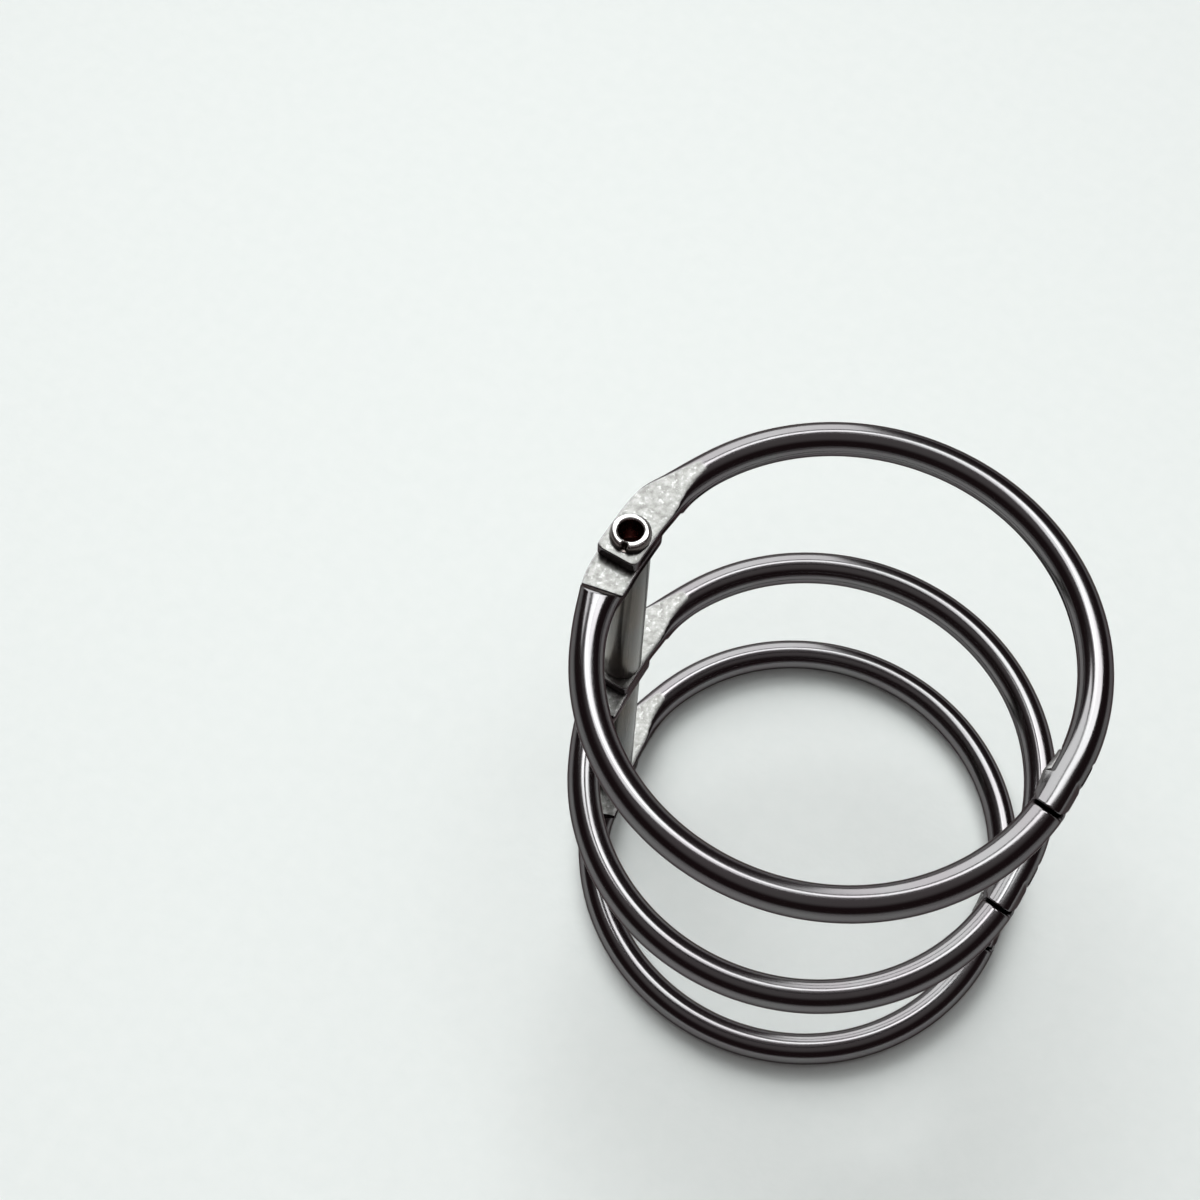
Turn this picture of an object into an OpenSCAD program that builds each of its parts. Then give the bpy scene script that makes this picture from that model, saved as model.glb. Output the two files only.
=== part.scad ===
// Three-ring hinged binder unit, standing on its end.
// Three snap rings of round wire hang on one long rivet. Each ring is two equal half rings: at one end
// a flat tongue with a hole for the rivet, at the other a toothed finger that snaps onto its twin.
// Frame: Z is the rivet's axis with the factory head at the bottom, X points from the hinge to the latch
// of the top ring, and the origin is the middle of the head's flat underside. Millimetres.

/* [Rings] */
// Diameter of the ring wire
wire_d = 2.4; // [1.8:0.1:3]
// Clear inside length of a ring, from hinge to latch
ring_inner_l = 30.5; // [20:0.5:60]
// Straight stretch of wire between the two bends, at the hinge and at the latch
straight_l = 1.8; // [0.6:0.2:4]
// Distance between neighbouring rings
ring_pitch = 19; // [10:0.5:40]
// Turn of the bottom ring about the rivet
bottom_ring_turn = 9; // [-30:1:30]
// Turn of the middle ring about the rivet
middle_ring_turn = 1; // [-30:1:30]
// Turn of the top ring about the rivet
top_ring_turn = 0; // [-30:1:30]

/* [Hinge tongues] */
// Thickness of a tongue
tongue_t = 1; // [0.7:0.05:1.1]
// Width of a tongue
tongue_w = 3.2; // [2.9:0.1:4]
// Distance from the rivet's axis to the tongue's end
tongue_end = 1.95; // [1.8:0.05:3]
// Radius of the corners of the tongue's end
tongue_corner_r = 0.5; // [0.2:0.1:1.1]
// Distance along the wire from the rivet's axis to where the tongue begins to narrow
tongue_wide_l = 3.3; // [2.6:0.1:4]
// Distance along the wire from the rivet's axis to the tip of the flat pad
pad_tip_l = 7.4; // [6:0.1:10]
// Width of the flat pad at its tip
pad_tip_w = 0.4; // [0.2:0.1:1]
// Distance along the wire from the rivet's axis to the foot of the shoulder beside the other tongue
shoulder_l = 4.1; // [3.8:0.1:6]
// Slope of the shoulder, measured from upright
shoulder_slope = 36; // [10:1:45]

/* [Latch] */
// Length over which the two fingers of a latch lie on each other
latch_l = 5.2; // [4:0.1:7]
// Height of a tooth above the middle of the wire
tooth_h = 0.3; // [0.15:0.05:0.5]
// Length of the steep flank where the two teeth hold each other
flank_l = 0.35; // [0.1:0.05:0.8]
// Length of the slope on a finger's nose
nose_l = 0.9; // [0.4:0.1:1.4]
// Height of the nose slope's end from the middle of the wire
nose_h = 0.35; // [0.1:0.05:0.6]
// Slope of the butt above a nose, measured from upright
butt_slope = 22; // [0:1:30]
// Depth of the flats pressed on the two sides of a finger
flat_depth = 0.15; // [0.05:0.05:0.3]
// Lean of these flats, measured from upright
flat_lean = 20; // [0:1:30]

/* [Rivet and spacer tubes] */
// Diameter of the rivet's shank
rivet_d = 2; // [1.6:0.1:2.2]
// Diameter of the rivet's factory head
head_d = 2.9; // [2.6:0.1:4]
// Height of the rivet's factory head
head_h = 0.6; // [0.4:0.05:1.2]
// Diameter of the rolled tail
tail_d = 2.9; // [2.7:0.1:3.6]
// Height of the rolled tail
tail_h = 0.65; // [0.4:0.05:1]
// Diameter of the hole in the tail
tail_hole_d = 1.5; // [0.8:0.1:1.5]
// Depth of the hole in the tail, down to its cone
tail_hole_l = 2.2; // [1:0.1:4]
// Width of the small split in the tail's lip
tail_split_w = 0.2; // [0.1:0.05:0.4]
// Outside diameter of a spacer tube
tube_d = 3; // [2.7:0.1:4]
// Chamfer on the ends of a spacer tube
tube_chamfer = 0.1; // [0.05:0.05:0.2]

/* [Clearances] */
// Gap between the two tongues of a ring
tongue_gap = 0.1; // [0.05:0.01:0.2]
// Gap between a tongue and the head, tail or tube beside it
end_gap = 0.05; // [0.02:0.01:0.1]
// Gap all round the rivet in its holes
rivet_gap = 0.05; // [0.02:0.01:0.1]
// Gap along the wire between the two fingers of a latch
latch_gap = 0.12; // [0.05:0.01:0.25]
// Gap across the wire between the teeth of a latch
tooth_gap = 0.12; // [0.05:0.01:0.25]

/* [Hidden] */
$fn = 96;

wire_r = wire_d / 2;
rivet_r = rivet_d / 2;
head_r = head_d / 2;
tail_r = tail_d / 2;
tail_hole_r = tail_hole_d / 2;
tube_r = tube_d / 2;
bore_r = rivet_r + rivet_gap;
// Radius of the wire's two bends, on its centre line
bend_r = (ring_inner_l + wire_d) / 2;
// Where a bend begins, measured from the line through rivet and latch
bend_y = straight_l / 2;
// X of the wire's centre line at the latch
latch_x = 2 * bend_r;
// From the middle of a ring to the outer face of its tongue, and to what lies next to it
tongue_top = tongue_gap / 2 + tongue_t;
stack_half = tongue_top + end_gap;
// Height of the middle of the bottom ring
first_ring_z = head_h + stack_half;
// Turn along a bend for a length of wire counted from the rivet
function bend_angle(l) = (l - bend_y) * 180 / (PI * bend_r);
function ring_z(k) = first_ring_z + k * ring_pitch;
// Point beside the wire's centre line, at a length of wire from the rivet and a distance outwards
function beside_bend(l, out) =
    [bend_r, bend_y] + (bend_r + out) * [-cos(bend_angle(l)), sin(bend_angle(l))];
// Points of an arc about c, as a list that a profile can take in
function arc_points(c, r, from, to, steps) =
    [for (i = [0 : steps]) c + r * [cos(from + (to - from) * i / steps), sin(from + (to - from) * i / steps)]];
// A cut reaches this far past the wire
past = wire_d;
// Steps in the round stretches of the rivet's profile
arc_steps = 6;
steel = [0.25, 0.24, 0.25];
tube_steel = [0.36, 0.34, 0.33];

// One bend of the wire about the middle of a ring: from and to are angles from the hinge side
module wire_bend(from, to) {
    translate([bend_r, bend_y, 0])
        rotate([0, 0, 180 - to])
            rotate_extrude(angle = to - from)
                translate([bend_r, 0])
                    circle(wire_r);
}

// The wire of a rear half ring, from its shoulder round to past the end of its finger
module half_wire() {
    finger_turn = bend_angle(latch_l);
    wire_bend(bend_angle(shoulder_l), 180);
    translate([latch_x, -bend_y, 0])
        rotate([-90, 0, 0])
            cylinder(r = wire_r, h = straight_l);
    mirror([0, 1, 0])
        wire_bend(180 - finger_turn, 180);
}

// Everything on the far side of the latch line, which belongs to the other half ring
module latch_cut() {
    half_l = latch_l / 2;
    half_flank = flank_l / 2;
    side = latch_gap / 2;
    lift = tooth_gap / 2;
    far_y = -latch_l - past;
    slope = tan(butt_slope);
    line = [[side - half_l - (past - lift - nose_h) * slope, past],
            [side - half_l, nose_h + lift],
            [side - half_l + nose_l, lift - tooth_h],
            [-half_flank - side, lift - tooth_h],
            [half_flank - side, tooth_h + lift],
            [half_l - nose_l + side, tooth_h + lift],
            [half_l + side, lift - nose_h],
            [half_l + side + (past + lift - nose_h) * slope, -past]];
    translate([latch_x - past, 0, 0])
        rotate([90, 0, 90])
            linear_extrude(2 * past)
                polygon(concat(line, [[far_y, -past], [far_y, past]]));
}

// The two flats pressed on the sides of a finger, from the flank of its tooth to its end
module finger_flat_cut() {
    for (turn = [0, 180])
        translate([latch_x, 0, 0])
            rotate([0, turn - flat_lean, 0])
                translate([wire_r - flat_depth, -latch_l, -past])
                    cube([past, latch_l + flank_l / 2, 2 * past]);
}

// Outline of a tongue: a square end with round corners, then a strip that follows the bend and narrows
// to the tip of the flat pad
module tongue_outline() {
    half_w = tongue_w / 2;
    half_tip = pad_tip_w / 2;
    corner_x = half_w - tongue_corner_r;
    corner_y = tongue_corner_r - tongue_end;
    translate([-half_w, corner_y])
        square([tongue_w, bend_y - corner_y]);
    translate([-corner_x, -tongue_end])
        square([2 * corner_x, tongue_end]);
    for (x = [-corner_x, corner_x])
        translate([x, corner_y])
            circle(tongue_corner_r);
    intersection() {
        translate([bend_r, bend_y])
            difference() {
                circle(bend_r + half_w);
                circle(bend_r - half_w);
            }
        polygon([[-half_w - past, bend_y], beside_bend(tongue_wide_l, half_w + past),
                 beside_bend(tongue_wide_l, -half_w - past), [half_w + past, bend_y]]);
    }
    polygon([beside_bend(tongue_wide_l, half_w), beside_bend(pad_tip_l, half_tip),
             beside_bend(pad_tip_l, -half_tip), beside_bend(tongue_wide_l, -half_w)]);
}

// What is pressed away beside the tongue, up to the sloping shoulder where the full wire begins
module shoulder_cut() {
    translate([bend_r, bend_y, tongue_gap / 2])
        rotate([0, 0, -bend_angle(shoulder_l)])
            translate([-bend_r - past, 0, 0])
                rotate([90, 0, 90])
                    linear_extrude(2 * past)
                        polygon([[-past, 0], [0, 0], [past * tan(shoulder_slope), -past], [-past, -past]]);
}

// The rear half of a ring, with the rivet's axis at the origin and the ring lying in the XY plane
module half_ring() {
    color(steel)
        difference() {
            union() {
                difference() {
                    half_wire();
                    translate([0, 0, tongue_top])
                        linear_extrude(past)
                            tongue_outline();
                    shoulder_cut();
                }
                translate([0, 0, tongue_gap / 2])
                    linear_extrude(tongue_t)
                        tongue_outline();
            }
            translate([0, 0, -past])
                cylinder(r = bore_r, h = 2 * past);
            latch_cut();
            finger_flat_cut();
        }
}

// A half ring in its place: the front half is the same piece turned over about the line from rivet to latch
module placed_half(k, turn, front) {
    translate([0, 0, ring_z(k)])
        rotate([0, 0, turn])
            rotate([front ? 180 : 0, 0, 0])
                half_ring();
}

// Spacer tube between ring k and the next one
module spacer_tube(k) {
    low = ring_z(k) + stack_half;
    high = ring_z(k + 1) - stack_half;
    color(tube_steel)
        rotate_extrude()
            polygon([[bore_r, low], [tube_r - tube_chamfer, low], [tube_r, low + tube_chamfer],
                     [tube_r, high - tube_chamfer], [tube_r - tube_chamfer, high], [bore_r, high]]);
}

// Long rivet: a low factory head, a plain shank, and a tail with a hole whose rim is rolled over
module hinge_rivet() {
    tail_z = ring_z(2) + stack_half;
    top_z = tail_z + tail_h;
    edge_r = head_h / 2;
    roll_r = (tail_r - tail_hole_r) / 2;
    roll_z = top_z - roll_r;
    roll_c = [tail_hole_r + roll_r, roll_z];
    hole_z = top_z - tail_hole_l;
    tip_z = hole_z - tail_hole_r;
    color(steel)
        difference() {
            rotate_extrude()
                polygon(concat([[0, 0]],
                               arc_points([head_r - edge_r, edge_r], edge_r, -90, 0, arc_steps),
                               [[head_r, head_h], [rivet_r, head_h], [rivet_r, tail_z], [tail_r, tail_z]],
                               arc_points(roll_c, roll_r, 0, 180, 2 * arc_steps),
                               [[tail_hole_r, hole_z], [0, tip_z]]));
            translate([-tail_split_w / 2, -past, roll_z])
                cube([tail_split_w, past, tail_h]);
        }
}

hinge_rivet();
spacer_tube(0);  // lower_spacer_tube
spacer_tube(1);  // upper_spacer_tube
placed_half(0, bottom_ring_turn, false);  // bottom_rear_half_ring
placed_half(0, bottom_ring_turn, true);  // bottom_front_half_ring
placed_half(1, middle_ring_turn, false);  // middle_rear_half_ring
placed_half(1, middle_ring_turn, true);  // middle_front_half_ring
placed_half(2, top_ring_turn, false);  // top_rear_half_ring
placed_half(2, top_ring_turn, true);  // top_front_half_ring
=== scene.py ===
import bpy
import math
import numpy as np
from mathutils import Matrix


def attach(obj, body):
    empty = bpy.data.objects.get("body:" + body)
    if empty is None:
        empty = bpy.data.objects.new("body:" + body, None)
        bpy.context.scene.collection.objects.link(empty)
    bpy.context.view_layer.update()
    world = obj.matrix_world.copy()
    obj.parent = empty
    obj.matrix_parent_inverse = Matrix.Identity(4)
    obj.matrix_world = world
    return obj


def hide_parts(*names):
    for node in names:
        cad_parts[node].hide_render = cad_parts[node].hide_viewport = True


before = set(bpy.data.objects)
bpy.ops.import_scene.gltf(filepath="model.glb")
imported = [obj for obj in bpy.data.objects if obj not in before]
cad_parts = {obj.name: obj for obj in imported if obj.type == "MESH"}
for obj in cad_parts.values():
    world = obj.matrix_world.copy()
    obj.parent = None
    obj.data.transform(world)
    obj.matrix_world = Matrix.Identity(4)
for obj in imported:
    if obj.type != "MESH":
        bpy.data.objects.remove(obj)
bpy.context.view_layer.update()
scene = bpy.context.scene

# HINGE RIVET
# One long semi-tubular steel rivet, plated black nickel, that every half ring turns on. Its factory head is
# a low disc at the bottom; its hollow tail is rolled outwards over the top tongue, which split the lip once.
MM = 0.001
SHANK_R, FILLET, SHANK_RINGS, SHANK_INSET = 1.0, 0.02, 20, 0.5
HEAD_R, HEAD_H, HEAD_EDGE, HEAD_RIM = 1.45, 0.6, 0.28, 0.06
TAIL_Z, TAIL_H, TAIL_R, TAIL_FOOT = 40.8, 0.65, 1.45, 0.05
CREST_IN_R, TAIL_HOLE_R, BROWN_R = 0.92, 0.75, 0.85
# The crest of the lip is painted near-white, a painted highlight, from the first of these depths below it,
# and fully so from the second.
HIGHLIGHT_FROM, HIGHLIGHT_FULL = 0.14, 0.05
# The split in the lip: its direction and form, how it fades inwards, and the part of the tail that it cuts.
SPLIT_TURN, SPLIT_HALF_WIDTH, SPLIT_DEPTH, SPLIT_PULL = math.radians(-80), 0.28, 0.4, 0.16
SPLIT_FADE, SPLIT_ABOVE, SPLIT_OUTSIDE = 0.25, 0.03, 0.1
# The rolled lip: radius and depth below the crest, from its outer foot over the crest and into the hole.
LIP = [(1.45, 0.5), (1.44, 0.36), (1.41, 0.24), (1.37, 0.14), (1.32, 0.075), (1.25, 0.03), (1.18, 0.006),
       (1.11, 0.0), (1.04, 0.004), (0.97, 0.02), (0.92, 0.05), (0.88, 0.1), (0.85, 0.2), (0.82, 0.4),
       (0.79, 0.7)]
# The hole below the lip, down to its point.
HOLE = [(TAIL_HOLE_R, 1.1), (TAIL_HOLE_R, 1.6), (TAIL_HOLE_R, 2.15), (TAIL_HOLE_R - 0.06, 2.25),
        (0.35, 2.6), (0.0, 2.95)]
RIVET_STEPS = 160


def linear(hex_colour):
    """sRGB hex to linear RGBA."""
    parts = [int(hex_colour[i:i + 2], 16) / 255 for i in (1, 3, 5)]
    return [c / 12.92 if c <= 0.04045 else ((c + 0.055) / 1.055) ** 2.4 for c in parts] + [1.0]


def put(tree, kind, sockets=None, **settings):
    """Adds a node with its settings; a socket takes a value, or a link when it is given another socket."""
    node = tree.nodes.new(kind)
    for name, value in settings.items():
        setattr(node, name, value)
    for name, value in (sockets or {}).items():
        if isinstance(value, bpy.types.NodeSocket):
            tree.links.new(value, node.inputs[name])
        else:
            node.inputs[name].default_value = value
    return node


def started(name):
    """A new material, with its node tree and its shader."""
    material = bpy.data.materials.new(name)
    material.use_nodes = True
    return material, material.node_tree, material.node_tree.nodes["Principled BSDF"]


def arc(cx, cz, r, start, end, steps):
    """Points of an arc in a turned profile, angles in degrees from the outward direction."""
    angles = np.radians(np.linspace(start, end, steps + 1))
    return [(cx + r * math.cos(a), cz + r * math.sin(a)) for a in angles]


def turned_mesh(name, profile, steps):
    """A closed turned mesh about Z from a profile that starts and ends on the axis."""
    turns = np.arange(steps) * 2 * math.pi / steps
    ring = np.array(profile[1:-1])
    rings = np.stack([np.outer(ring[:, 0], np.cos(turns)), np.outer(ring[:, 0], np.sin(turns)),
                      np.repeat(ring[:, 1:2], steps, 1)], -1)
    points = np.concatenate([rings.reshape(-1, 3), [[0, 0, profile[0][1]], [0, 0, profile[-1][1]]]])
    low, high = len(points) - 2, len(points) - 1
    last = (len(ring) - 1) * steps
    faces = []
    for j in range(steps):
        k = (j + 1) % steps
        faces.append((low, k, j))
        faces += [(i * steps + j, i * steps + k, (i + 1) * steps + k, (i + 1) * steps + j)
                  for i in range(len(ring) - 1)]
        faces.append((high, last + j, last + k))
    mesh = bpy.data.meshes.new(name)
    mesh.from_pydata([tuple(p) for p in points], [], faces)
    return mesh


top_z = TAIL_Z + TAIL_H
rivet_profile = [(0.0, 0.0), (SHANK_R / 2, 0.0), (SHANK_R, 0.0)]
rivet_profile += arc(HEAD_R - HEAD_EDGE, HEAD_EDGE, HEAD_EDGE, -90, 0, 8)
rivet_profile += arc(HEAD_R - HEAD_RIM, HEAD_H - HEAD_RIM, HEAD_RIM, 0, 90, 4)
rivet_profile += [(SHANK_R + FILLET, HEAD_H), (SHANK_R, HEAD_H + FILLET)]
shank_z = np.linspace(HEAD_H + SHANK_INSET, TAIL_Z - SHANK_INSET, SHANK_RINGS)
rivet_profile += [(SHANK_R, z) for z in shank_z]
rivet_profile += [(SHANK_R, TAIL_Z - FILLET), (SHANK_R + FILLET, TAIL_Z)]
rivet_profile += arc(TAIL_R - TAIL_FOOT, TAIL_Z + TAIL_FOOT, TAIL_FOOT, -90, 0, 3)
rivet_profile += [(r, top_z - depth) for r, depth in LIP + HOLE]
rivet_mesh = turned_mesh("hinge_rivet_plated", rivet_profile, RIVET_STEPS)
for vert in rivet_mesh.vertices:
    x, y, z = vert.co
    radius = math.hypot(x, y)
    if z > TAIL_Z + SPLIT_ABOVE and radius > TAIL_HOLE_R + SPLIT_OUTSIDE:
        off = abs((math.atan2(y, x) - SPLIT_TURN + math.pi) % (2 * math.pi) - math.pi) * radius
        dip = max(0.0, 1 - off / SPLIT_HALF_WIDTH)
        outer = min(1.0, max(0.0, (radius - CREST_IN_R) / SPLIT_FADE))
        vert.co.z -= SPLIT_DEPTH * dip * outer * (z - TAIL_Z) / TAIL_H
        pull = 1 - SPLIT_PULL * dip * outer
        vert.co.x, vert.co.y = x * pull, y * pull
rivet_mesh.transform(Matrix.Scale(MM, 4))
rivet_mesh.shade_smooth()
rivet_mesh.set_sharp_from_angle(angle=math.radians(50))

# Black nickel on steel: a dark grey mirror with a faint warm tint. The crest of the rolled lip is painted
# near-white: a painted highlight.
rivet_steel, tree, shader = started("black_nickel_plated_rivet_steel")
shader.inputs["Metallic"].default_value = 1.0
place = put(tree, "ShaderNodeTexCoord").outputs["Object"]
height = put(tree, "ShaderNodeSeparateXYZ", {0: place}).outputs["Z"]
# Painted highlight: the top of the lip's crest is painted near-white.
crest = put(tree, "ShaderNodeMapRange", {"Value": height, "From Min": (top_z - HIGHLIGHT_FROM) * MM,
                                         "From Max": (top_z - HIGHLIGHT_FULL) * MM}).outputs[0]
tone = put(tree, "ShaderNodeMix", {0: crest, 6: linear("#5f5755"), 7: linear("#d2d0cf")},
           data_type="RGBA").outputs[2]
# Inside the hole the plate is thin and brown.
across = put(tree, "ShaderNodeVectorMath", {0: place, 1: (1, 1, 0)}, operation="MULTIPLY").outputs[0]
radius = put(tree, "ShaderNodeVectorMath", {0: across}, operation="LENGTH").outputs["Value"]
hole = put(tree, "ShaderNodeMapRange", {"Value": radius, "From Min": CREST_IN_R * MM,
                                        "From Max": BROWN_R * MM}).outputs[0]
tone = put(tree, "ShaderNodeMix", {0: hole, 6: tone, 7: linear("#6f5350")}, data_type="RGBA").outputs[2]
tree.links.new(tone, shader.inputs["Base Color"])
# Rubbed patches of about 0.4 mm.
rubbed = put(tree, "ShaderNodeTexNoise", {"Vector": place, "Scale": 1 / (0.4 * MM), "Detail": 3.0})
rough = put(tree, "ShaderNodeMapRange", {"Value": rubbed.outputs["Fac"], "To Min": 0.16, "To Max": 0.34})
tree.links.new(rough.outputs[0], shader.inputs["Roughness"])

rivet = bpy.data.objects.new("hinge_rivet_plated", rivet_mesh)
scene.collection.objects.link(rivet)
rivet_mesh.materials.append(rivet_steel)
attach(rivet, "spine")
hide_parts("hinge_rivet")

# SPACER TUBES
# Two lengths of drawn steel tube, plated black nickel, slid over the rivet between the rings to keep the
# 19 mm step. Drawing leaves fine lines along the tube, and the plate is a little browner here.
TUBE_R, TUBE_BORE_R, TUBE_EDGE = 1.5, 1.05, 0.09
TUBE_LOW = {"lower_spacer_tube": 2.8, "upper_spacer_tube": 21.8}
TUBE_L = 16.8
TUBE_STEPS, TUBE_EDGE_STEPS = 128, 5

# Black nickel on drawn tube: a dark mirror, drawn out into lines from end to end.
tube_steel, tree, shader = started("black_nickel_plated_drawn_tube")
shader.inputs["Metallic"].default_value = 1.0
place = put(tree, "ShaderNodeTexCoord").outputs["Object"]
# Drawing lines of 0.24 mm and finer round the tube, 20 mm long.
stretched = put(tree, "ShaderNodeMapping", {"Vector": place, "Scale": (1, 1, 0.012)}).outputs[0]
lines = put(tree, "ShaderNodeTexNoise",
            {"Vector": stretched, "Scale": 1 / (0.24 * MM), "Detail": 2.0}).outputs["Fac"]
# Brown bloom in the plate, in patches of 7 mm.
bloom = put(tree, "ShaderNodeTexNoise",
            {"Vector": place, "Scale": 1 / (7 * MM), "Detail": 2.0}).outputs["Fac"]
browned = put(tree, "ShaderNodeMapRange", {"Value": bloom, "From Min": 0.42, "From Max": 0.62}).outputs[0]
tone = put(tree, "ShaderNodeMix", {0: browned, 6: linear("#5c5b5a"), 7: linear("#5d554d")},
           data_type="RGBA").outputs[2]
lined = put(tree, "ShaderNodeMapRange", {"Value": lines, "From Min": 0.3, "From Max": 0.7,
                                         "To Min": 0.82, "To Max": 1.12}).outputs[0]
tinted = put(tree, "ShaderNodeMix", {0: 1.0, 6: tone, 7: lined},
             data_type="RGBA", blend_type="MULTIPLY").outputs[2]
tree.links.new(tinted, shader.inputs["Base Color"])
rough = put(tree, "ShaderNodeMapRange", {"Value": lines, "To Min": 0.17, "To Max": 0.34}).outputs[0]
tree.links.new(rough, shader.inputs["Roughness"])
groove = put(tree, "ShaderNodeBump", {"Height": lines, "Strength": 0.12, "Distance": 0.01 * MM}).outputs[0]
tree.links.new(groove, shader.inputs["Normal"])

tube_tree = bpy.data.node_groups.new("drawn_tube", "GeometryNodeTree")
for name in ("Outside radius", "Bore radius", "Length", "Edge rounding", "Bottom height"):
    tube_tree.interface.new_socket(name, in_out="INPUT", socket_type="NodeSocketFloat")
tube_tree.interface.new_socket("Geometry", in_out="OUTPUT", socket_type="NodeSocketGeometry")
size = put(tube_tree, "NodeGroupInput").outputs
radii = {0: size["Outside radius"], 1: size["Bore radius"]}
wall = put(tube_tree, "ShaderNodeMath", radii, operation="SUBTRACT").outputs[0]
both = put(tube_tree, "ShaderNodeMath", radii, operation="ADD").outputs[0]
middle_r = put(tube_tree, "ShaderNodeMath", {0: both, 1: 0.5}, operation="MULTIPLY").outputs[0]
half_l = put(tube_tree, "ShaderNodeMath", {0: size["Length"], 1: 0.5}, operation="MULTIPLY").outputs[0]
middle_z = put(tube_tree, "ShaderNodeMath", {0: half_l, 1: size["Bottom height"]},
               operation="ADD").outputs[0]
section = put(tube_tree, "GeometryNodeCurvePrimitiveQuadrilateral",
              {"Width": wall, "Height": size["Length"]})
section = put(tube_tree, "GeometryNodeFilletCurve",
              {"Curve": section.outputs[0], "Radius": size["Edge rounding"], "Count": TUBE_EDGE_STEPS},
              mode="POLY")
round_path = put(tube_tree, "GeometryNodeCurvePrimitiveCircle",
                 {"Resolution": TUBE_STEPS, "Radius": middle_r})
swept = put(tube_tree, "GeometryNodeCurveToMesh",
            {"Curve": round_path.outputs[0], "Profile Curve": section.outputs[0]})
lift = put(tube_tree, "ShaderNodeCombineXYZ", {"Z": middle_z})
raised = put(tube_tree, "GeometryNodeTransform",
             {"Geometry": swept.outputs[0], "Translation": lift.outputs[0]})
whole = put(tube_tree, "GeometryNodeRealizeInstances", {"Geometry": raised.outputs[0]})
finished = put(tube_tree, "GeometryNodeSetMaterial", {"Geometry": whole.outputs[0], "Material": tube_steel})
put(tube_tree, "NodeGroupOutput", {"Geometry": finished.outputs[0]})


def grown(name, start_mesh, node_tree, inputs):
    """Runs a geometry tree on a start mesh and gives a plain mesh object with the result."""
    start = bpy.data.objects.new(name + "_start", start_mesh)
    scene.collection.objects.link(start)
    modifier = start.modifiers.new("grow", "NODES")
    modifier.node_group = node_tree
    for item in node_tree.interface.items_tree:
        if item.in_out == "INPUT" and item.name in inputs:
            modifier[item.identifier] = inputs[item.name]
    evaluated = start.evaluated_get(bpy.context.evaluated_depsgraph_get())
    mesh = bpy.data.meshes.new_from_object(evaluated)
    mesh.name = name
    bpy.data.objects.remove(start)
    piece = bpy.data.objects.new(name, mesh)
    scene.collection.objects.link(piece)
    return piece


for node, low in TUBE_LOW.items():
    tube = grown(node + "_drawn", bpy.data.meshes.new("empty_start"), tube_tree,
                 {"Outside radius": TUBE_R * MM, "Bore radius": TUBE_BORE_R * MM, "Length": TUBE_L * MM,
                  "Edge rounding": TUBE_EDGE * MM, "Bottom height": low * MM})
    tube.data.shade_smooth()
    tube.data.set_sharp_from_angle(angle=math.radians(40))
    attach(tube, "spine")
    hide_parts(node)

# HALF RINGS
# Six like pieces of 2.4 mm steel wire, plated black nickel. A straight blank is pressed flat at one end for
# the hinge tongue, stamped to a toothed finger at the other and bent round. Front halves are turned over.
WIRE_R = 1.2
BEND_R, HALF_STRAIGHT = 16.45, 0.9
TONGUE_HALF_W, TONGUE_LOW, TONGUE_TOP, TONGUE_END, TONGUE_CORNER = 1.6, 0.05, 1.05, -1.95, 0.45
# The share of the tongue's corner radius that is rounded away at its end.
CORNER_SHARE = 0.999
# The shoulder under the tongue leans by 36 degrees. Its cosine, and the tooth's, make a length a true gap.
SHOULDER_AT, SHOULDER_SLOPE, SHOULDER_COS = 4.1, math.tan(math.radians(36)), 0.81
BORE_R = 1.05
PUNCH_LOW, PUNCH_TOP, PUNCH_STEPS = -2.0, 3.0, 96
LATCH_AT = 2 * HALF_STRAIGHT + math.pi * BEND_R
FINGER_END, TOOTH_TOP, TOOTH_COS = 2.84, 1.12, 0.8
FACET_U, FACET_V = math.cos(math.radians(20)), math.sin(math.radians(20))
BURR_V, BURR_SPREAD = 0.2, 0.34
# The underside's squareness: this base, and this share of the top's.
UNDER_BASE, UNDER_SHARE = 1.4, 0.3
# How far the press rounded each edge.
SHOULDER_CORNER, SHOULDER_EDGE, PAD_EDGE, FACET_EDGE, END_EDGE = 0.1, 0.12, 0.1, 0.08, 0.12
NOSE_EDGE, TOOTH_EDGE = 0.32, 0.09
# Height of each ring's middle in mm, and its swing about the rivet in degrees.
RING_HEIGHTS = {"bottom": (1.7, 9.0), "middle": (20.7, 1.0), "top": (39.7, 0.0)}
# Points round a section, and how strongly they crowd to its corners in the pressed forms and in plain wire.
AROUND, HALVINGS = 112, 40
PRESSED_CROWD, PLAIN_CROWD, TONGUE_FORM_END, LATCH_FORM_START = 0.8, 0.35, 6, -3.6

# Places along the blank: close together where the press left a form, wider along the plain wire.
along = np.concatenate([
    TONGUE_END + np.array([0.001, 0.012, 0.03, 0.06, 0.1, 0.15, 0.2, 0.27, 0.35, 0.45]),
    np.arange(-1.3, 3.2, 0.2), np.arange(3.2, 4.0, 0.1),
    np.arange(4.0, 5.4, 0.035), np.arange(5.4, 7.9, 0.08),
    np.linspace(7.9, LATCH_AT - 4.4, 92)[:-1], np.arange(-4.4, -3.15, 0.07) + LATCH_AT,
    np.arange(-3.15, -2.5, 0.03) + LATCH_AT, np.arange(-2.5, -1.6, 0.06) + LATCH_AT,
    np.arange(-1.6, -0.3, 0.1) + LATCH_AT, np.arange(-0.3, 0.45, 0.03) + LATCH_AT,
    np.arange(0.45, 1.5, 0.1) + LATCH_AT, np.arange(1.5, FINGER_END - 0.3, 0.05) + LATCH_AT,
    np.linspace(FINGER_END - 0.3, FINGER_END, 14) + LATCH_AT])


def eased(values, places, reach):
    """A line through (place, value) points with its corners rounded over a reach in millimetres."""
    return np.mean([np.interp(along + shift, places, values) for shift in np.linspace(-reach, reach, 9)], 0)


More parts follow.
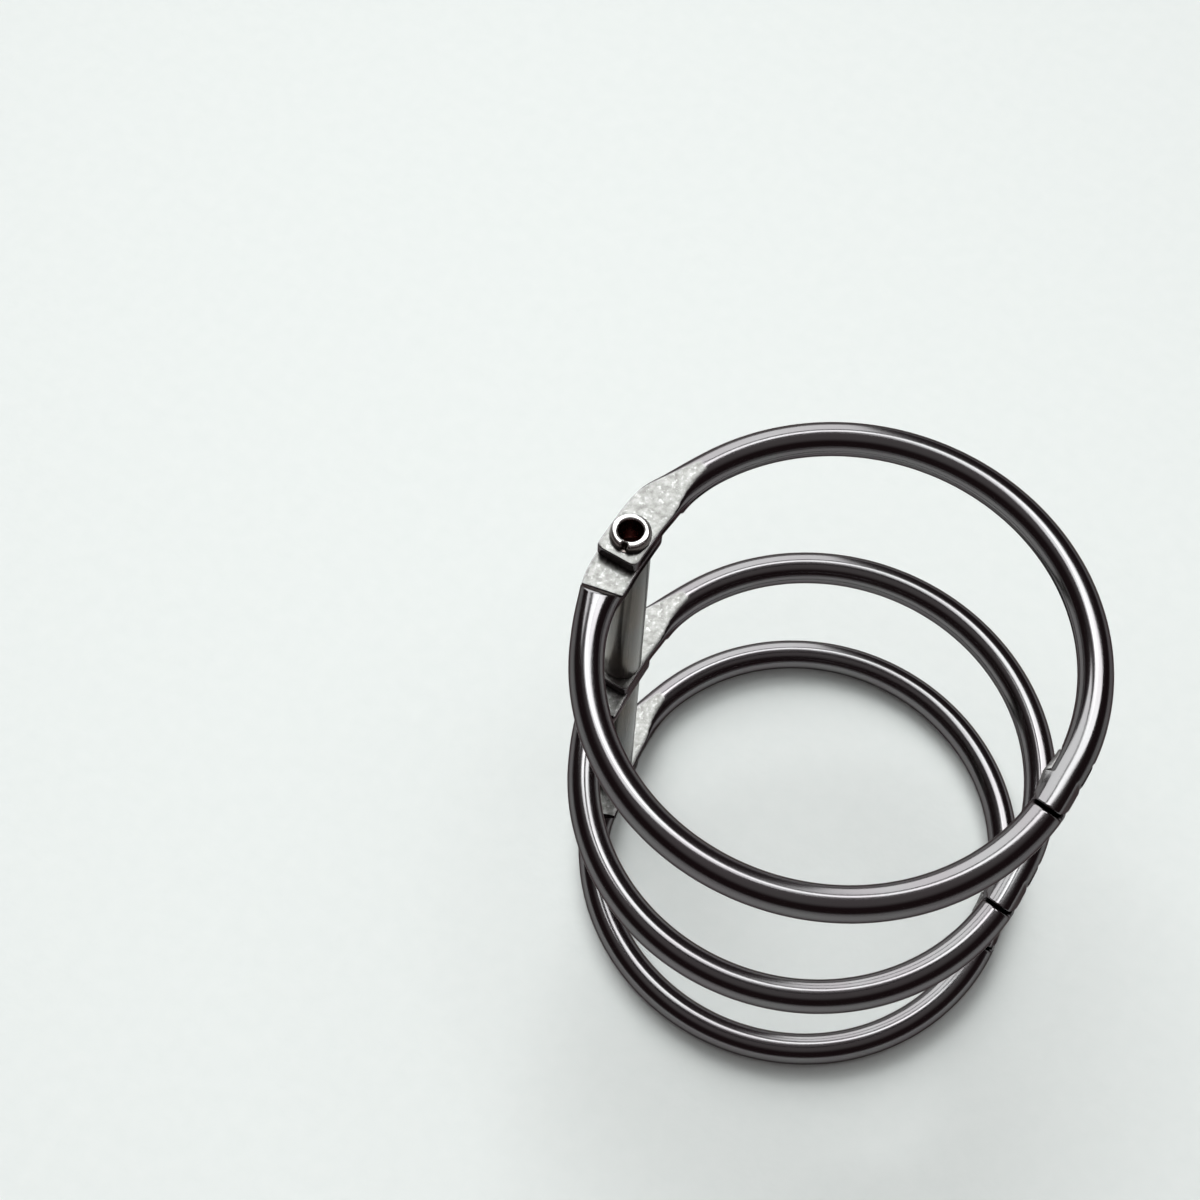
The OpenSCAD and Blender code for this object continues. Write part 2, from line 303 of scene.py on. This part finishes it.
def smooth_max(a, b, k):
    """The larger of two gaps, with the edge between them rounded."""
    h = np.clip(0.5 + 0.5 * (a - b) / k, 0, 1)
    return b + (a - b) * h + k * h * (1 - h)


latch = along - LATCH_AT
# From tongue to round wire: half width and squareness of the section, and height of the flat pad.
corner = np.clip((TONGUE_END + TONGUE_CORNER - along) / TONGUE_CORNER, 0, 1)
spread = [-9, 2.3, 3.3, 4.3, 5.1, 6.0, 7.0, 8.1, 99]
half_width = eased([TONGUE_HALF_W, TONGUE_HALF_W, 1.58, 1.47, 1.36, 1.29, 1.24, WIRE_R, WIRE_R],
                   spread, 0.3)
half_width -= TONGUE_CORNER * (1 - np.sqrt(1 - corner ** 2)) * CORNER_SHARE
squareness = eased([16, 16, 9, 4.4, 2.9, 2.3, 2.05, 2, 2], spread, 0.3)
pad_top = eased([TONGUE_TOP, TONGUE_TOP, 1.1, 1.17, 1.3, 1.3], [-9, 5.0, 6.2, 7.1, 8.2, 99], 0.25)
# The latch: depth of the flats at the finger's sides, the tooth's stepped line with its edge, and a burr.
facet = eased([-0.9, -0.9, 0.0, 0.13, 0.12, 0.08],
              [-9, 9, LATCH_AT - 0.3, LATCH_AT + 0.1, LATCH_AT + 1.8, LATCH_AT + FINGER_END], 0.08)
lip = np.where((latch > 2.1) | ((latch < -2.4) & (latch > -4)), NOSE_EDGE, TOOTH_EDGE)
tooth_line = eased([-2.2, -2.2, -1.25, -0.29, 0.36, 0.36, -0.24, -0.24, 0.41, 1.5],
                   [-9, LATCH_AT - 3.4, LATCH_AT - 3.04, LATCH_AT - 2.66, LATCH_AT - 1.76, LATCH_AT - 0.115,
                    LATCH_AT + 0.235, LATCH_AT + 1.6, LATCH_AT + 2.46, LATCH_AT + 2.94], 0.05)
burr = np.interp(latch, [-0.02, 0.14, 0.6, 1.3, 1.9, 2.3], [0, 0.34, 0.26, 0.18, 0.12, 0])


def outside(s, u, v, i):
    """Gap from a point beside the blank to its surface, below zero inside."""
    # The underside is rounder than the top, which the press made square.
    power = np.where(v > 0, squareness[i], UNDER_BASE + UNDER_SHARE * squareness[i])
    rounded = (np.abs(u) / half_width[i]) ** power + (np.abs(v) / WIRE_R) ** power
    gap = rounded ** (1 / power) * WIRE_R - WIRE_R
    shoulder = (SHOULDER_AT + (TONGUE_LOW - v) * SHOULDER_SLOPE - s) * SHOULDER_COS
    gap = smooth_max(gap, -smooth_max(v - TONGUE_LOW, -shoulder, SHOULDER_CORNER), SHOULDER_EDGE)
    gap = smooth_max(gap, v - pad_top[i], PAD_EDGE)
    gap = smooth_max(gap, np.abs(u * FACET_U + v * FACET_V) - (WIRE_R - facet[i]), FACET_EDGE)
    gap = gap - burr[i] * (u < 0) * np.exp(-((v - BURR_V) / BURR_SPREAD) ** 2)
    gap = smooth_max(gap, (tooth_line[i] - v) * TOOTH_COS, lip[i])
    return smooth_max(gap, TONGUE_END - s, END_EDGE)


# Each section is found by going out from a middle point inside it until the surface is met. More of its
# points go to the corners where the press made it square.
index = np.arange(len(along))[:, None]
lowest = np.maximum(np.where(along < SHOULDER_AT, TONGUE_LOW,
                             TONGUE_LOW - (along - SHOULDER_AT) / SHOULDER_SLOPE), -WIRE_R)
lowest = np.maximum(lowest, np.clip(tooth_line, -WIRE_R, TOOTH_TOP))
highest = np.minimum(WIRE_R, pad_top)
middle_v = ((lowest + highest) / 2)[:, None]
half_v = ((highest - lowest) / 2)[:, None]
half_u = half_width[:, None]
turn = (np.arange(AROUND) + 0.5) * 2 * math.pi / AROUND
pressed = (along < TONGUE_FORM_END) | (latch > LATCH_FORM_START)
crowd = np.where(pressed, PRESSED_CROWD, PLAIN_CROWD)[:, None]
turn = turn[None, :] - crowd / 4 * np.sin(4 * turn)[None, :]
way_u, way_v = half_u * np.cos(turn), half_v * np.sin(turn)
near, far = np.zeros_like(turn), np.full_like(turn, 3.0)
for _ in range(HALVINGS):
    reach = (near + far) / 2
    inside = outside(along[:, None], reach * way_u, middle_v + reach * way_v, index) < 0
    near, far = np.where(inside, reach, near), np.where(inside, far, reach)
blank_u, blank_v = near * way_u, middle_v + near * way_v
points = np.stack([np.repeat(along[:, None], AROUND, 1), blank_u, blank_v], -1)
ends = [[along[0], 0, middle_v[0, 0]], [along[-1], 0, middle_v[-1, 0]]]
beside = [(j, (j + 1) % AROUND) for j in range(AROUND)]
count = len(along)
last = (count - 1) * AROUND
faces = [(i * AROUND + j, i * AROUND + k, (i + 1) * AROUND + k, (i + 1) * AROUND + j)
         for i in range(count - 1) for j, k in beside]
faces += [(count * AROUND, k, j) for j, k in beside]
faces += [(count * AROUND + 1, last + j, last + k) for j, k in beside]
blank_mesh = bpy.data.meshes.new("half_ring_blank")
blank_mesh.from_pydata([tuple(p) for p in np.concatenate([points.reshape(-1, 3), ends]) * MM], [], faces)
blank_mesh.flip_normals()

# The rivet hole is punched through the tongue.
punch_profile = [(0, PUNCH_LOW), (BORE_R, PUNCH_LOW), (BORE_R, PUNCH_TOP), (0, PUNCH_TOP)]
punch_mesh = turned_mesh("punch", punch_profile, PUNCH_STEPS)
punch_mesh.transform(Matrix.Scale(MM, 4))
punch = bpy.data.objects.new("punch", punch_mesh)
blank = bpy.data.objects.new("half_ring_blank", blank_mesh)
scene.collection.objects.link(punch)
scene.collection.objects.link(blank)
hole = blank.modifiers.new("rivet hole", "BOOLEAN")
hole.object, hole.operation, hole.solver = punch, "DIFFERENCE", "EXACT"
blank_mesh = bpy.data.meshes.new_from_object(blank.evaluated_get(bpy.context.evaluated_depsgraph_get()))
bpy.data.objects.remove(blank)
bpy.data.objects.remove(punch)

# What the finish follows: the place on the straight blank in millimetres, and where the press left a flat. A
# flat faces up or down, lies on the pad or under the tongue, and fades out where the round wire begins. The
# burr beside the tooth is worn to the same look.
FLAT_UPRIGHT, FLAT_FADE, FLAT_END, FLAT_END_FADE = 0.9, 0.085, 7.75, 0.3
PAD_LOW, UNDER_REACH = 0.85, 0.08
WORN_OUT, WORN_V, WORN_SPREAD = -0.95, 0.08, 0.4
spots = np.zeros(len(blank_mesh.vertices) * 3)
blank_mesh.vertices.foreach_get("co", spots)
spots = spots.reshape(-1, 3) / MM
s, u, v = spots.T
upright = np.array([n.vector[2] for n in blank_mesh.vertex_normals])
flat = np.clip((np.abs(upright) - FLAT_UPRIGHT) / FLAT_FADE, 0, 1)
flat *= np.clip((FLAT_END - s) / FLAT_END_FADE, 0, 1)
flat *= (v > PAD_LOW) | (np.abs(v - TONGUE_LOW) < UNDER_REACH)
worn = np.interp(s - LATCH_AT, [0.0, 0.14, 1.8, 2.2], [0, 0.7, 0.5, 0])
worn = worn * (u < WORN_OUT) * np.exp(-((v - WORN_V) / WORN_SPREAD) ** 2)
flat = np.maximum(flat, worn)
blank_mesh.attributes.new("blank_place", "FLOAT_VECTOR", "POINT").data.foreach_set("vector", spots.ravel())
blank_mesh.attributes.new("pressed_flat", "FLOAT", "POINT").data.foreach_set("value", flat)

# Black nickel on drawn wire: a dark, slightly purple-brown mirror with faint lines along the wire. Where the
# press flattened it the plate is paler, with a mottled grain and white rubbed flecks.
ring_steel, tree, shader = started("black_nickel_plated_ring_wire")
shader.inputs["Metallic"].default_value = 1.0
place = put(tree, "ShaderNodeAttribute", attribute_name="blank_place").outputs["Vector"]
pressed_flat = put(tree, "ShaderNodeAttribute", attribute_name="pressed_flat").outputs["Fac"]
# The place is in millimetres, so a scale is spots to the millimetre. Drawing lines of 0.2 mm and finer round
# the wire, about 7 mm long.
stretched = put(tree, "ShaderNodeMapping", {"Vector": place, "Scale": (0.03, 1, 1)}).outputs[0]
lines = put(tree, "ShaderNodeTexNoise", {"Vector": stretched, "Scale": 5.0, "Detail": 2.0}).outputs["Fac"]
# Warm and cool patches in the plate, 5 mm long.
patches = put(tree, "ShaderNodeTexNoise", {"Vector": place, "Scale": 0.2, "Detail": 2.0}).outputs["Fac"]
warm = put(tree, "ShaderNodeMapRange", {"Value": patches, "From Min": 0.4, "From Max": 0.62}).outputs[0]
plate = put(tree, "ShaderNodeMix", {0: warm, 6: linear("#727071"), 7: linear("#706c6e")},
            data_type="RGBA").outputs[2]
# Grain of the pressed flats: mottling of 0.45 mm with flecks of 0.3 mm.
mottle = put(tree, "ShaderNodeTexNoise",
             {"Vector": place, "Scale": 2.2, "Detail": 4.0, "Roughness": 0.6}).outputs["Fac"]
flecks = put(tree, "ShaderNodeTexNoise", {"Vector": place, "Scale": 3.4, "Detail": 3.0}).outputs["Fac"]
rubbed = put(tree, "ShaderNodeMapRange", {"Value": flecks, "From Min": 0.56, "From Max": 0.78}).outputs[0]
grey = put(tree, "ShaderNodeMapRange", {"Value": mottle, "From Min": 0.3, "From Max": 0.7}).outputs[0]
grain = put(tree, "ShaderNodeMix", {0: grey, 6: linear("#696765"), 7: linear("#9b9a98")},
            data_type="RGBA").outputs[2]
grain = put(tree, "ShaderNodeMix", {0: rubbed, 6: grain, 7: linear("#bcbbba")}, data_type="RGBA").outputs[2]
tone = put(tree, "ShaderNodeMix", {0: pressed_flat, 6: plate, 7: grain}, data_type="RGBA").outputs[2]
tree.links.new(tone, shader.inputs["Base Color"])
# The thin dark film takes light away at a grazing view, so the wire has a dark rim.
shader.inputs["Specular Tint"].default_value = linear("#877f7f")
polish = put(tree, "ShaderNodeMapRange", {"Value": lines, "To Min": 0.1, "To Max": 0.2}).outputs[0]
dull = put(tree, "ShaderNodeMapRange", {"Value": mottle, "To Min": 0.3, "To Max": 0.46}).outputs[0]
rough = put(tree, "ShaderNodeMix", {0: pressed_flat, 2: polish, 3: dull}).outputs[0]
tree.links.new(rough, shader.inputs["Roughness"])
relief = put(tree, "ShaderNodeMath", {0: mottle, 1: pressed_flat}, operation="MULTIPLY").outputs[0]
dents = put(tree, "ShaderNodeBump", {"Height": relief, "Strength": 0.3, "Distance": 0.04 * MM}).outputs[0]
tree.links.new(dents, shader.inputs["Normal"])

bend_tree = bpy.data.node_groups.new("bend_half_ring", "GeometryNodeTree")
bend_tree.interface.new_socket("Blank", in_out="INPUT", socket_type="NodeSocketGeometry")
for name in ("Bend radius", "Half straight", "Turned over", "Ring turn", "Ring height"):
    bend_tree.interface.new_socket(name, in_out="INPUT", socket_type="NodeSocketFloat")
bend_tree.interface.new_socket("Geometry", in_out="OUTPUT", socket_type="NodeSocketGeometry")
size = put(bend_tree, "NodeGroupInput").outputs
position = put(bend_tree, "GeometryNodeInputPosition").outputs[0]
straight = put(bend_tree, "ShaderNodeSeparateXYZ", {0: position}).outputs
value = {"s": straight["X"], "u": straight["Y"], "R": size["Bend radius"], "b": size["Half straight"]}
# Length along the blank becomes a turn: the first bend, the straight at the latch, then the next bend.
for name, operation, a, b in [
        ("past hinge", "SUBTRACT", "s", "b"), ("angle", "DIVIDE", "past hinge", "R"),
        ("angle up", "MAXIMUM", "angle", 0.0), ("turn 1", "MINIMUM", "angle up", math.pi),
        ("hinge straight", "MINIMUM", "s", "b"), ("half round", "MULTIPLY", "R", math.pi),
        ("past bend", "SUBTRACT", "past hinge", "half round"), ("two b", "MULTIPLY", "b", 2.0),
        ("bend up", "MAXIMUM", "past bend", 0.0), ("latch straight", "MINIMUM", "bend up", "two b"),
        ("past latch", "SUBTRACT", "bend up", "latch straight"), ("turn 2", "DIVIDE", "past latch", "R"),
        ("turn", "ADD", "turn 1", "turn 2"), ("cos 1", "COSINE", "turn 1", 0.0),
        ("cos 2", "COSINE", "turn 2", 0.0), ("sin 1", "SINE", "turn 1", 0.0),
        ("sin 2", "SINE", "turn 2", 0.0), ("cos", "COSINE", "turn", 0.0), ("sin", "SINE", "turn", 0.0),
        ("cos sum", "SUBTRACT", "cos 2", "cos 1"), ("x mid", "MULTIPLY", "R", "cos sum"),
        ("sin sum", "SUBTRACT", "sin 1", "sin 2"), ("y bend", "MULTIPLY", "R", "sin sum"),
        ("y straight", "SUBTRACT", "hinge straight", "latch straight"),
        ("y mid", "ADD", "y bend", "y straight"), ("x out", "MULTIPLY", "u", "cos"),
        ("y out", "MULTIPLY", "u", "sin"), ("x", "SUBTRACT", "x mid", "x out"),
        ("y", "ADD", "y mid", "y out")]:
    step = put(bend_tree, "ShaderNodeMath", {0: value.get(a, a), 1: value.get(b, b)}, operation=operation)
    value[name] = step.outputs[0]
bent_place = put(bend_tree, "ShaderNodeCombineXYZ", {"X": value["x"], "Y": value["y"], "Z": straight["Z"]})
bent = put(bend_tree, "GeometryNodeSetPosition",
           {"Geometry": size["Blank"], "Position": bent_place.outputs[0]})
over = put(bend_tree, "ShaderNodeCombineXYZ", {"X": size["Turned over"]})
about = put(bend_tree, "ShaderNodeCombineXYZ", {"Z": size["Ring turn"]})
lift = put(bend_tree, "ShaderNodeCombineXYZ", {"Z": size["Ring height"]})
laid = put(bend_tree, "GeometryNodeTransform", {"Geometry": bent.outputs[0], "Rotation": over.outputs[0]})
hung = put(bend_tree, "GeometryNodeTransform", {"Geometry": laid.outputs[0], "Rotation": about.outputs[0],
                                                "Translation": lift.outputs[0]})
whole = put(bend_tree, "GeometryNodeRealizeInstances", {"Geometry": hung.outputs[0]})
finished = put(bend_tree, "GeometryNodeSetMaterial", {"Geometry": whole.outputs[0], "Material": ring_steel})
put(bend_tree, "NodeGroupOutput", {"Geometry": finished.outputs[0]})

for ring, (height, ring_turn) in RING_HEIGHTS.items():
    for side, turned_over in (("rear", 0.0), ("front", math.pi)):
        half = grown(f"{ring}_{side}_wire", blank_mesh, bend_tree,
                     {"Bend radius": BEND_R * MM, "Half straight": HALF_STRAIGHT * MM,
                      "Turned over": turned_over, "Ring turn": math.radians(ring_turn),
                      "Ring height": height * MM})
        half.data.shade_smooth()
        half.data.set_sharp_from_angle(angle=math.radians(45))
        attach(half, f"{ring}_{side}")
        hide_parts(f"{ring}_{side}_half_ring")

# FLOOR, LIGHT AND CAMERA
# A plain sheet of white paper under soft light from above and behind, seen from above at the front. The
# sheet is round and goes on for 20 metres, so that a low view has a level horizon.
FLOOR_R, FLOOR_SIDES = 20000, 128
floor_mesh = bpy.data.meshes.new("paper_floor")
rim = np.arange(FLOOR_SIDES) * 2 * math.pi / FLOOR_SIDES
floor_mesh.from_pydata([(FLOOR_R * MM * math.cos(a), FLOOR_R * MM * math.sin(a), 0) for a in rim], [],
                       [tuple(range(FLOOR_SIDES))])
floor = bpy.data.objects.new("paper_floor", floor_mesh)
scene.collection.objects.link(floor)
# Smooth white paper: matt, with a tooth of soft dimples about 1.5 mm across.
paper, tree, shader = started("smooth_white_paper")
shader.inputs["Roughness"].default_value = 0.75
place = put(tree, "ShaderNodeTexCoord").outputs["Object"]
tooth = put(tree, "ShaderNodeTexNoise",
            {"Vector": place, "Scale": 1 / (1.5 * MM), "Detail": 2.0}).outputs["Fac"]
tone = put(tree, "ShaderNodeMix", {0: tooth, 6: linear("#e8edeb"), 7: linear("#edf1ef")},
           data_type="RGBA").outputs[2]
tree.links.new(tone, shader.inputs["Base Color"])
dimples = put(tree, "ShaderNodeBump", {"Height": tooth, "Strength": 0.35, "Distance": 0.1 * MM}).outputs[0]
tree.links.new(dimples, shader.inputs["Normal"])
floor_mesh.materials.append(paper)

# A dim room: a wall as grey as the far paper, which fades out from about 3 to 9 degrees above the horizon,
# and a grey ceiling overhead. The heights are sines of the rise.
WALL_FULL, WALL_END = 0.045, 0.15
CEILING_FROM, CEILING_FULL = 0.66, 0.92
world = bpy.data.worlds.new("dim_room")
world.use_nodes = True
tree = world.node_tree
way = put(tree, "ShaderNodeTexCoord").outputs["Generated"]
rise = put(tree, "ShaderNodeSeparateXYZ", {0: way}).outputs["Z"]
above = put(tree, "ShaderNodeMapRange",
            {"Value": rise, "From Min": WALL_FULL, "From Max": WALL_END}).outputs[0]
overhead = put(tree, "ShaderNodeMapRange",
               {"Value": rise, "From Min": CEILING_FROM, "From Max": CEILING_FULL},
               interpolation_type="SMOOTHSTEP").outputs[0]
room = put(tree, "ShaderNodeMix", {0: above, 6: linear("#b0b1b0"), 7: linear("#392c2e")},
           data_type="RGBA").outputs[2]
room = put(tree, "ShaderNodeMix", {0: overhead, 6: room, 7: linear("#8c8888")}, data_type="RGBA").outputs[2]
tree.links.new(room, tree.nodes["Background"].inputs["Color"])
scene.world = world

# Windows that show as stripes in the wire, then a soft box and daylight that light the paper. A lamp does
# one of the two, so that stripes and shadows can each be as in the photograph.
MIDDLE = np.array([16.4, 0.0, 20.0])


def hang(name, lamp, turn_deg, rise_deg, distance, tilt_deg, use):
    """Hangs a lamp that faces the middle of the unit, in a direction given by its turn and rise."""
    turn, rise, tilt = math.radians(turn_deg), math.radians(rise_deg), math.radians(tilt_deg)
    out = np.array([math.cos(turn) * math.cos(rise), math.sin(turn) * math.cos(rise), math.sin(rise)])
    level = np.array([-math.sin(turn), math.cos(turn), 0])
    across = level * math.cos(tilt) + np.cross(out, level) * math.sin(tilt)
    axes = np.stack([across, np.cross(out, across), out], 1)
    at = (MIDDLE + out * distance) * MM
    lamp_object = bpy.data.objects.new(name, lamp)
    scene.collection.objects.link(lamp_object)
    lamp_object.matrix_world = Matrix([[*row, place] for row, place in zip(axes, at)] + [[0, 0, 0, 1]])
    lamp_object.visible_glossy = use == "stripes"
    lamp_object.visible_diffuse = use == "paper"


# Each lamp: turn and rise in degrees, distance, width and height in mm, tilt in degrees, brightness, use.
for name, turn_deg, rise_deg, distance, width, height, tilt_deg, brightness, use in [
        ("high_left_window", 139.5, 70, 1450, 550, 390, -12, 4.0, "stripes"),
        ("high_window", 98, 62.5, 1475, 1200, 270, 12, 6.0, "stripes"),
        ("wide_window", 136, 28, 1980, 1700, 1700, -8, 3.5, "stripes"),
        ("soft_box", 148, 78, 255, 300, 300, 0, 1.68, "paper")]:
    lamp = bpy.data.lights.new(name, "AREA")
    lamp.shape, lamp.size, lamp.size_y = "RECTANGLE", width * MM, height * MM
    lamp.energy = brightness * math.pi * lamp.size * lamp.size_y
    lamp.color = linear("#fafffe")[:3]
    hang(name, lamp, turn_deg, rise_deg, distance, tilt_deg, use)
daylight = bpy.data.lights.new("daylight", "SUN")
daylight.angle, daylight.energy = math.radians(50), 2.0
hang("daylight", daylight, 141, 45, 800, 0, "paper")

# The photograph's camera: its place in mm, its directions, and its focal length in pixels of the picture.
CAMERA_AT = (34.996, -66.63, 171.178)
RIGHT = (0.84993, 0.5263, 0.02499)
DOWN = (0.47387, -0.74279, -0.47298)
FORWARD = (-0.23037, 0.41385, -0.88072)
FOCAL_PX, PICTURE_PX, SENSOR = 2227.12, 1200, 36
camera_data = bpy.data.cameras.new("camera")
camera_data.sensor_width = SENSOR
camera_data.lens = SENSOR * FOCAL_PX / PICTURE_PX
camera_data.clip_start = 0.01
camera = bpy.data.objects.new("camera", camera_data)
scene.collection.objects.link(camera)
rows = [[r, -d, -f, at * MM] for r, d, f, at in zip(RIGHT, DOWN, FORWARD, CAMERA_AT)]
camera.matrix_world = Matrix(rows + [[0, 0, 0, 1]])
scene.camera = camera
scene.view_settings.view_transform = "Standard"
